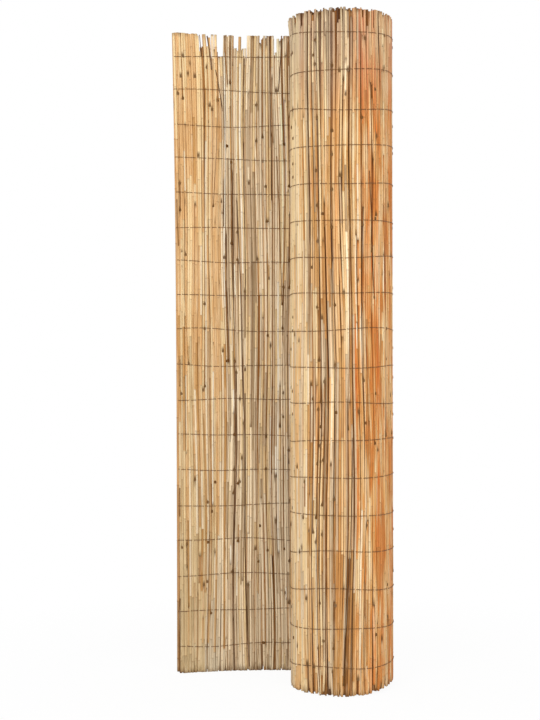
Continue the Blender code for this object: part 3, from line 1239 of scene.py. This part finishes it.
@dataclass
class Screening:
    """The whole mat of reeds: the outermost turn, the free end and the inner turns."""

    line: MatLine
    finish: bpy.types.Material
    seed: int = 7
    free_bundles: int = 3
    turn_bundles: int = 6
    inner_radius: tuple[float, float] = (2.2 * MM, 2.75 * MM)
    inner_gap: tuple[float, float] = (0.1 * MM, 1.0 * MM)
    inner_hidden: float = 0.4
    faces: dict[Side, list[Reed]] = field(default_factory=dict)

    def weave(self) -> None:
        """Places every reed of the outermost turn and the free end."""
        dice = np.random.default_rng(self.seed)
        stalks = Stalks(self.line, dice)
        layer = Layer(self.line, stalks, dice)
        start, end = 1 * MM - self.line.wound(1), self.line.free_length
        front, back = Face(Side.INNER, 0.0, end), Face(Side.OUTER, 0.0, end, airy=False)
        outside = Face(Side.OUTER, start, 0.0)
        inside = Face(Side.INNER, start, 0.0, shown=False, airy=False)
        front_columns, outside_columns = layer.columns(front), layer.columns(outside)
        inner = layer.fill(front, front_columns) + layer.fill(inside, layer.nested(inside, outside_columns))
        outer = layer.fill(outside, outside_columns) + layer.fill(back, layer.nested(back, front_columns))
        inner += layer.strays(front, 7)
        outer += layer.strays(outside, 12) + layer.strays(back, 6)
        for stray in FRONT_STRAYS:
            middle = (stray.foot_run + stray.head_run) / 2
            aside = self.line.drift(middle, self.line.foot + np.array([stray.foot, stray.head]))
            inner.append(stalks.reed(
                middle - aside.mean(), layer.stray_offset(Side.INNER, stray.radius), stray.radius,
                (stray.foot, stray.head), stray.shade, stains=(0.8, 0.8),
                lean=stray.head_run - stray.foot_run - (aside[1] - aside[0]),
            ))
        self.faces = {Side.OUTER: outer, Side.INNER: inner}

    def bundle(self, name: str, reeds: list[Reed], slot: str, **mesh: object) -> bpy.types.Object:
        """Makes one piece of these reeds."""
        made = StalkMesh(self.line, np.random.default_rng(self.seed + len(reeds)), **mesh).build(name, reeds)
        made.data.materials.append(self.finish)
        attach(made, "root")
        LOG.info("%s: %d reeds, %d faces", name, len(reeds), len(made.data.polygons))
        return made

    def build(self) -> list[bpy.types.Object]:
        """Builds the outermost turn and the free end, in bundles from the free edge inwards."""
        self.weave()
        pieces, rows = [], self.line.rows
        free_edges = np.linspace(self.line.free_length, 0, self.free_bundles + 1)
        turn_edges = np.linspace(0, -self.line.wound(1), self.turn_bundles + 1)
        seen, covered = {"guides": (rows[0], rows[-1])}, {"guides": rows[::4], "sides": 6, "jointed": False}
        parts = (
            ("free_end_front", Side.INNER, free_edges, seen), ("free_end_back", Side.OUTER, free_edges, seen),
            ("outer_turn_outside", Side.OUTER, turn_edges, seen),
            ("outer_turn_inside", Side.INNER, turn_edges[[0, -1]], covered),
        )
        for place, side, edges, mesh in parts:
            for number, (high, low) in enumerate(zip(edges[:-1], edges[1:]), 1):
                reeds = [reed for reed in self.faces[side] if low < reed.run <= high]
                pieces.append(self.bundle(f"{place}_{number}", reeds, "reed", **mesh))
        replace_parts(pieces[0], "outer_reed_layer")
        return pieces

    def build_inner_turns(self) -> list[bpy.types.Object]:
        """Builds the turns inside the outermost one, which show only at the roll's ends."""
        dice = np.random.default_rng(self.seed + 1)
        stalks = Stalks(self.line, dice)
        line, pieces = self.line, []
        edges = [line.wound(turn) for turn in [*range(1, int(line.turns) + 1), line.turns]]
        for number, (low, high) in enumerate(zip(edges[:-1], edges[1:]), 2):
            reeds = []
            for side in Side:
                run = -low - 3 * MM
                while run > -high:
                    radius = dice.uniform(*self.inner_radius)
                    foot, drop = INNER_FEET.draw(dice), INNER_HEADS.draw(dice)
                    offset = side.value * (line.half - radius)
                    span = (foot + float(line.lift(run)), line.height - drop)
                    # painted shade: this share of the inner turns' reeds takes the darker covered lot
                    hidden = dice.random() < self.inner_hidden
                    reeds.append(stalks.reed(run, offset, radius, span, hidden=hidden))
                    run -= 2 * radius + dice.uniform(*self.inner_gap)
            pieces.append(self.bundle(f"inner_turn_{number}", reeds, "rolled_reed", sides=6, jointed=False))
        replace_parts(pieces[0], "rolled_reeds")
        return pieces


@dataclass
class WireRow:
    """One row of binding: two strands that swap faces of the mat at each stitch."""

    line: MatLine
    height: float
    dice: np.random.Generator
    radius: float = 0.85 * MM
    sides: int = 5
    step: float = 2.8 * MM
    stitch: tuple[float, float] = (16 * MM, 40 * MM)
    swap_reach: float = 2 * MM
    wave: float = 3 * MM
    slip: float = 7.5 * MM
    wound_reach: float = 120 * MM
    flare: float = 0.021
    eye_level: float = 862 * MM
    foot_rise: float = 0.7
    bridge: float = 3.5 * MM
    sink: float = 0.25 * MM
    edge_reach: float = 2.5 * MM

    def crest(self, reeds: list[Reed], side: Side, runs: np.ndarray) -> np.ndarray:
        """How far out the reeds of one face reach at this height, smoothed as a tight wire bridges them."""
        level = np.full(len(runs), self.line.half - 3 * MM)
        here = np.array([self.height])
        for reed in reeds:
            if reed.foot < self.height < reed.head:
                run, offset, radius = (float(value[0]) for value in reed.path(self.line, here))
                beside = radius**2 - (runs - run) ** 2
                reach = side.value * offset + np.sqrt(np.maximum(beside, 0))
                level = np.where(beside > 0, np.maximum(level, reach), level)
        level = np.minimum(level, self.line.half + self.sink)
        spread = max(1, round(self.bridge / self.step))
        padded = np.pad(level, spread, mode="edge")
        tight = np.max([padded[i : i + len(runs)] for i in range(2 * spread + 1)], 0)
        soft = np.pad(tight, 1, mode="edge")
        return (soft[:-2] + soft[1:-1] + soft[2:]) / 3

    def sway(self, runs: np.ndarray) -> np.ndarray:
        """How far the row strays up and down.

        It has slow waves, has slipped a little along the reeds, spreads from the middle rows at the roll's
        sides, and rises with the feet near the floor.

        Args:
            runs: places along the mat.

        Returns:
            The heights to add there.
        """
        phase = self.dice.uniform(0, FULL_TURN, 3)
        size = self.dice.uniform(0.4, 1.3, 3) * self.wave
        waves = sum(size[k] / (k + 1) ** 0.7 * np.sin(runs * 8.5 * (k + 1) + phase[k]) for k in range(3))
        share = (self.height - self.line.foot) / self.line.height
        wound = (-runs / self.wound_reach).clip(0, 1)
        on_roll, on_end = math.sin(1.9 * math.pi * share), math.sin(math.pi * share) ** 2
        slip = self.slip * (wound * on_roll + (1 - wound) * on_end)
        _, _, outwards = self.line.place(runs, 0.0)
        spread = self.flare * (self.height - self.eye_level) * wound * np.cos(outwards) ** 2
        return waves + slip + spread + self.foot_rise * self.line.lift(runs) * (1 - share) ** 5

    def strands(self, faces: dict[Side, list[Reed]]) -> list[np.ndarray]:
        """The two strands' points in the frame."""
        end = self.line.free_length
        edge = end + float(self.line.drift(end, np.array([self.height]))[0])
        runs = np.arange(4 * MM - self.line.wound(1), edge + 0.4 * self.step, self.step)
        outer = self.crest(faces[Side.OUTER], Side.OUTER, runs) + self.radius
        inner = self.crest(faces[Side.INNER], Side.INNER, runs) + self.radius
        past = ((runs - edge + self.edge_reach) / (1.4 * self.edge_reach)).clip(0, 1)
        closing = np.sqrt((1 - past**2).clip(0, 1))
        swap = np.ones(len(runs))
        stitch = runs[0] + self.dice.uniform(*self.stitch)
        while stitch < runs[-1]:
            swap *= -np.tanh((runs - stitch) / self.swap_reach)
            stitch += self.dice.uniform(*self.stitch)
        sway = self.sway(runs)
        made = []
        for sign in (1, -1):
            share = (1 + sign * swap) / 2
            offset = (share * outer - (1 - share) * inner) * closing
            height = self.height + sway + sign * self.radius * 1.2 * (1 - swap**2)
            x, y, _ = self.line.place(runs, offset)
            made.append(np.stack([x, y, height], -1))
        return made

    def build(self, name: str, faces: dict[Side, list[Reed]], finish: bpy.types.Material) -> bpy.types.Object:
        """Sweeps both strands into one piece."""
        tubes = Tubes(self.sides, clockwise=True)
        across, upwards = (wave(tubes.around)[None, :, None] for wave in (np.cos, np.sin))
        for path in self.strands(faces):
            ahead = np.gradient(path, axis=0)
            ahead /= np.linalg.norm(ahead, axis=1, keepdims=True)
            up = np.array([0, 0, 1.0]) - ahead[:, 2:] * ahead
            up /= np.linalg.norm(up, axis=1, keepdims=True)
            out = np.cross(ahead, up)
            tubes.add(path[:, None] + self.radius * (across * out[:, None] + upwards * up[:, None]))
        made = tubes.build(name)
        made.data.materials.append(finish)
        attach(made, "root")
        LOG.info("%s: %d faces", name, len(made.data.polygons))
        return made


@dataclass(frozen=True)
class Studio:
    """A pale floor, soft light and the camera, which looks level at the middle of the roll."""

    horizon_pixel: float = 366.0
    middle_pixel: float = 360.0
    focal_pixels: float = 1267.0
    frame_pixels: float = 720.0
    sensor: float = 36.0
    camera_height: float = 862 * MM
    camera_left_of_axis: float = 191.2 * MM
    camera_distance: float = 3441 * MM
    camera_roll: float = math.radians(0.08)
    ambient: float = 0.72
    floor_glow: float = 0.94
    floor_reach: float = 60.0
    shadow_reach: float = 0.7

    def camera(self, line: MatLine) -> None:
        """Sets the camera at the photograph's place."""
        lens = bpy.data.cameras.new("camera")
        lens.sensor_width = self.sensor
        lens.lens = self.focal_pixels / self.frame_pixels * self.sensor
        eye = add_object("camera", lens)
        eye.location.x = line.axis_x - self.camera_left_of_axis
        eye.location.y = line.axis_y - self.camera_distance
        eye.location.z = self.camera_height
        tilt = math.atan((self.horizon_pixel - self.middle_pixel) / self.focal_pixels)
        eye.rotation_euler = (math.pi / 2 + tilt, self.camera_roll, 0)
        bpy.context.scene.camera = eye

    def lamp(self, name: str, place: Triple, size: float, power: float) -> None:
        """Adds a soft square lamp that faces the middle of the roll."""
        light = bpy.data.lights.new(name, "AREA")
        light.size = size
        light.energy = power
        lamp = add_object(name, light)
        lamp.location = place
        aim = Vector((0, 0, self.camera_height)) - Vector(place)
        lamp.rotation_euler = aim.to_track_quat("-Z", "Y").to_euler()

    def seen(self, graph: Graph) -> Signal:
        """1 where the camera, a gloss or a glass sees a thing, and 0 where it only lights others."""
        kinds = ("Camera", "Glossy", "Transmission")
        camera, glossy, through = (graph.signal("ShaderNodeLightPath", f"Is {kind} Ray") for kind in kinds)
        return camera.most(glossy).most(through)

    def world(self) -> None:
        """Even light from all round, which looks white where the camera or a gloss sees it."""
        scene = bpy.context.scene
        scene.world = bpy.data.worlds.new("studio")
        scene.world.use_nodes = True
        graph = Graph(scene.world.node_tree)
        shader = graph.signal("ShaderNodeBackground", "Background", {
            "Color": (1, 1, 1, 1), "Strength": self.seen(graph) * (1 - self.ambient) + self.ambient,
        })
        graph.finish(shader, "ShaderNodeOutputWorld")

    def floor(self, line: MatLine) -> None:
        """Lays a plain white floor that keeps a soft shadow near the roll."""
        data = bpy.data.meshes.new("floor")
        reach = self.floor_reach
        corners = [(-reach, -reach, 0), (reach, -reach, 0), (reach, reach, 0), (-reach, reach, 0)]
        data.from_pydata(corners, [], [(0, 1, 2, 3)])
        made = add_object("floor", data)
        made.location.z = line.foot
        material, graph = new_material("white_floor")
        place = graph.signal("ShaderNodeTexCoord", "Object")
        far = graph.vector("LENGTH", "Value", place).above(self.shadow_reach, 1 / self.shadow_reach)
        glow = far * (1 - self.floor_glow) + self.floor_glow
        matt = graph.signal("ShaderNodeBsdfDiffuse", "BSDF", {"Color": (0.95, 0.95, 0.95, 1)})
        white = graph.signal("ShaderNodeEmission", "Emission", {"Color": (1, 1, 1, 1), "Strength": 1.0})
        share = self.seen(graph) * glow
        graph.finish(graph.signal("ShaderNodeMixShader", "Shader", {0: share, 1: matt, 2: white}))
        data.materials.append(material)

    def build(self, line: MatLine) -> None:
        """Sets up the whole studio."""
        self.camera(line)
        self.floor(line)
        self.world()
        self.lamp("key", place=(-1.7, -3.4, 2.3), size=1.6, power=59.0)
        self.lamp("fill", place=(2.2, -3.0, 1.2), size=1.8, power=36.0)
        bpy.context.scene.view_settings.view_transform = "Standard"


def mat_line(frame: dict, rows: tuple[float, ...]) -> MatLine:
    """Where the mat stands in the frame: its axis is the bore's, and its height the outer layer's."""
    low, high = frame["record"]["physics"]["openings"][0]["box_m"]
    foot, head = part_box("outer_reed_layer")
    axis = [(low[i] + high[i]) / 2 for i in (0, 1)]
    return MatLine(axis_x=axis[0], axis_y=axis[1], foot=foot.z, height=head.z - foot.z, rows=rows)


def main() -> None:
    """Builds the looks round the frame and reports each piece."""
    logging.basicConfig(level=logging.INFO, format="%(message)s")
    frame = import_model()
    wires = sorted(node for node in frame["nodes"] if node.startswith("binding_wire_"))
    line = mat_line(frame, tuple(sum(corner.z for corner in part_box(node)) / 2 for node in wires))
    screening = Screening(line, ReedFinish("dry_reed").material())
    screening.build()
    screening.build_inner_turns()
    wire_finish = WireFinish().material()
    for number, (node, height) in enumerate(zip(wires, line.rows), 1):
        row = WireRow(line, height, np.random.default_rng(100 + number))
        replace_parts(row.build(f"wire_row_{number:02d}", screening.faces, wire_finish), node)
    Studio().build(line)


if __name__ == "__main__":
    main()
